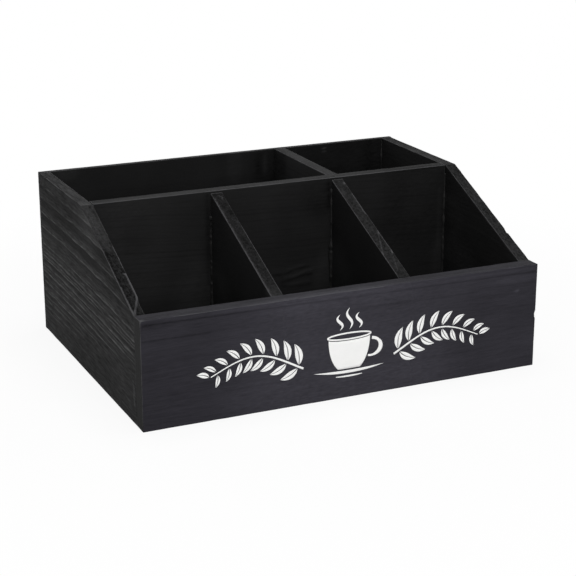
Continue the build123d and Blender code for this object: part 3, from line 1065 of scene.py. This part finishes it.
boards = [
    front_board(),
    side_board(
        "left_side_panel", seed=2.1, rings=LEFT_RINGS, relief=0.34 * MM, rubbed=LEFT_RUBBED,
        patches=LEFT_PATCHES, lines=LEFT_LINES, broken=LEFT_BROKEN,
    ),
    side_board(
        "right_side_panel", seed=6.4, rings=RIGHT_RINGS, relief=0.30 * MM, chips=RIGHT_CHIPS,
        patches=RIGHT_PATCHES,
    ),
    divider_board(
        "front_divider_left", seed=4.5, patches=LEFT_DIVIDER_PATCHES, rubbed=LEFT_DIVIDER_RUBBED,
    ),
    divider_board(
        "front_divider_right", seed=8.2, patches=RIGHT_DIVIDER_PATCHES,
        rubbed=RIGHT_DIVIDER_RUBBED,
    ),
    level_board(
        "back_panel", axes=(X, Z, Y), radii=(0.4, 0.5, 0.5, 0.5), steps=(3.4, 0.72, 0.7), seed=9.4,
        rings=random_rings(14, -20, 180, gap=7.0, line=0.5, groove=0.5), relief=0.03 * MM,
        patches=BACK_PATCHES, nails=nail_marks("back_panel_brads", Y, False),
    ),
    level_board(
        "cross_divider", axes=(X, Z, Y), radii=(0.3, 0.3, 0.9, 0.3), steps=(2.6, 0.6, 0.7),
        rings=random_rings(31, -20, 180, gap=4.2, line=0.6, groove=0.6), relief=0.06 * MM,
        tilt=-0.05, swirls=[((12 * MM, 57 * MM), (26 * MM, 12 * MM), 3.5 * MM)], planed=0.3,
        patches=CROSS_PATCHES, lines=CROSS_LINES, rubbed=CROSS_RUBBED, seed=5.9,
    ),
    level_board(
        "rear_divider", axes=(Y, Z, X), radii=(0.3, 0.3, 0.9, 0.3), steps=(3, 0.7, 0.7), seed=7.7,
        grain=Y, relief=0.06 * MM, patches=REAR_PATCHES,
    ),
    level_board(
        "bottom_panel", axes=(X, Y, Z), radii=(0.3, 0.3, 0.3, 0.3), steps=(3, 1.2, 0.8), seed=12.3,
        rings=random_rings(17, -150, 160, gap=7.0, line=0.5, groove=0.5), relief=0.03 * MM,
        nails=nail_marks("bottom_panel_brads", Z, True),
    ),
]

GRAIN_ALONG_X = ("front_panel", "back_panel", "cross_divider", "bottom_panel")

# What differs between the boards. Streaks and fine are the strengths of the coarse and the fine
# fibres, and dashes is about how many streaks a metre of grain has. Painted shade darkens the
# inside of the box by each board's share of it, and calm is how much plainer the inside is.
# Top and slope are the light of level tops and of torn slopes, and specks is how speckled the
# slopes are.
BRUSHED_SIDE = {
    "stops": BRUSHED, "streaks": 3.5, "fine": 2.3, "dashes": 60.0, "light": 0.88, "calm": 0.85,
}
LOOKS = {
    "front_panel": {"streaks": 0.55, "tint": (1.0, 0.96, 1.16), "light": 1.02, "top": 0.88},
    "left_side_panel": dict(BRUSHED_SIDE, top=0.71),
    "right_side_panel": dict(BRUSHED_SIDE, inside_shade=0.6, top=0.54, slope=1.1),
    "back_panel": {"streaks": 0.3, "inside_shade": 0.5, "top": 0.80},
    "bottom_panel": {"across": Y},
    "cross_divider": {"streaks": 0.8, "inside_shade": 0.45, "top": 0.75},
    "rear_divider": {"inside_shade": 0.2, "top": 0.72},
    "front_divider_left": {"inside_shade": 0.45, "slope": 0.66, "specks": 3.8},
    "front_divider_right": {"inside_shade": 0.50, "slope": 1.0, "specks": 3.4},
}
for number, piece in enumerate(sorted(boards, key=lambda board: board.name)):
    node = piece.name.removesuffix("_board")
    shift = (0.37 * number, 0.21 * number, 0.53 * number)
    grain = X if node in GRAIN_ALONG_X else Y
    stain = black_stain("black_stain_" + node, grain, shift, **LOOKS[node])
    piece.data.materials.append(stain)

ornament = printed_ornament()
ornament.data.materials.append(white_print())

glue = dried_glue()
# The corner, top and width of each bead
GLUE_CORNERS = {
    "glue_front_left": ((LEFT_DIVIDER, SLOPE_START), BOX_TOP - 20 * MM, 2.9 * MM),
    "glue_front_middle": ((RIGHT_DIVIDER, SLOPE_START), BOX_TOP - 9 * MM, 2.6 * MM),
    "glue_front_right": ((RIGHT_INNER, SLOPE_START), BOX_TOP - 7 * MM, 2.2 * MM),
    "glue_rear_right": ((RIGHT_INNER, BACK_INNER), BOX_TOP - 2 * MM, 2.0 * MM),
}
for number, (name, (corner, top, width)) in enumerate(GLUE_CORNERS.items()):
    bead = glue_line(name, corner, FLOOR_Z + 0.5 * MM, top, width, 3.3 * number + 1.7)
    bead.data.materials.append(glue)

steel = dull_steel()
for node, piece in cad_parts.items():
    if node.endswith("_brads"):
        piece.data.materials.clear()
        piece.data.materials.append(steel)


# Floor, light and camera

MIDDLE = (0.0, 0.0, 0.07)


def pale_floor():
    """A plain floor that looks white to the camera and keeps a soft shadow."""
    reach = 4.0
    mesh = bpy.data.meshes.new("floor")
    turns = ((-1, -1), (1, -1), (1, 1), (-1, 1))
    mesh.from_pydata([(x * reach, y * reach, 0) for x, y in turns], [], [(0, 1, 2, 3)])
    finish = Finish("pale_floor")
    away = finish.node("ShaderNodeVectorMath", {0: finish.place()}, 1, operation="LENGTH")
    matt = finish.node("ShaderNodeBsdfDiffuse", {"Color": colour(0.8, 0.8, 0.8)})
    glow = finish.node("ShaderNodeEmission", {"Color": colour(1, 1, 1), "Strength": 1.0})
    share = finish.seen() * (away.between(0.2, 0.55) * 0.1 + 0.9)
    mixed = finish.node("ShaderNodeMixShader", {0: share, 1: matt, 2: glow})
    finish.node("ShaderNodeOutputMaterial", {"Surface": mixed})
    mesh.materials.append(finish.owner)
    floor = add_object("floor", mesh)


def studio_world(level):
    """White to the camera and in reflections, and a soft even light for everything else."""
    studio = Finish("studio", world=True)
    strength = studio.seen().between(0.0, 1.0) * (1.0 - level) + level
    sockets = {"Color": colour(1, 1, 1), "Strength": strength}
    sky = studio.node("ShaderNodeBackground", sockets)
    studio.node("ShaderNodeOutputWorld", {"Surface": sky})
    bpy.context.scene.world = studio.owner


def soft_lamp(name, place, size, power):
    """A square area lamp that points at the middle of the box."""
    lamp = bpy.data.lights.new(name, "AREA")
    lamp.shape = "SQUARE"
    lamp.size = size
    lamp.energy = power
    holder = add_object(name, lamp)
    away = Vector(place) - Vector(MIDDLE)
    holder.location = place
    holder.rotation_euler = away.to_track_quat("Z", "Y").to_euler()


def camera_at(azimuth, elevation, distance, target, lens):
    """A camera on a sphere round its target; azimuth 0 looks along +Y."""
    turn, rise = math.radians(azimuth), math.radians(elevation)
    back = Vector((
        math.sin(turn) * math.cos(rise), -math.cos(turn) * math.cos(rise), math.sin(rise),
    ))
    data = bpy.data.cameras.new("camera")
    data.lens = lens
    camera = add_object("camera", data)
    camera.location = Vector(target) + back * distance
    camera.rotation_euler = back.to_track_quat("Z", "Y").to_euler()
    bpy.context.scene.camera = camera


pale_floor()
studio_world(0.28)
soft_lamp("overhead", (0.1, 0.0, 1.7), size=1.0, power=17.0)
soft_lamp("front", (-0.2, -1.95, 0.95), size=1.0, power=23.0)
soft_lamp("left", (-1.9, 0.0, 1.2), size=0.8, power=3.0)
soft_lamp("rear", (-0.4, 2.0, 0.9), size=1.0, power=6.0)
camera_at(
    azimuth=-24.49, elevation=18.04, distance=1.2717, target=(6.28 * MM, 0.0, 49.33 * MM),
    lens=96.83,
)

bpy.context.scene.view_settings.view_transform = "Standard"
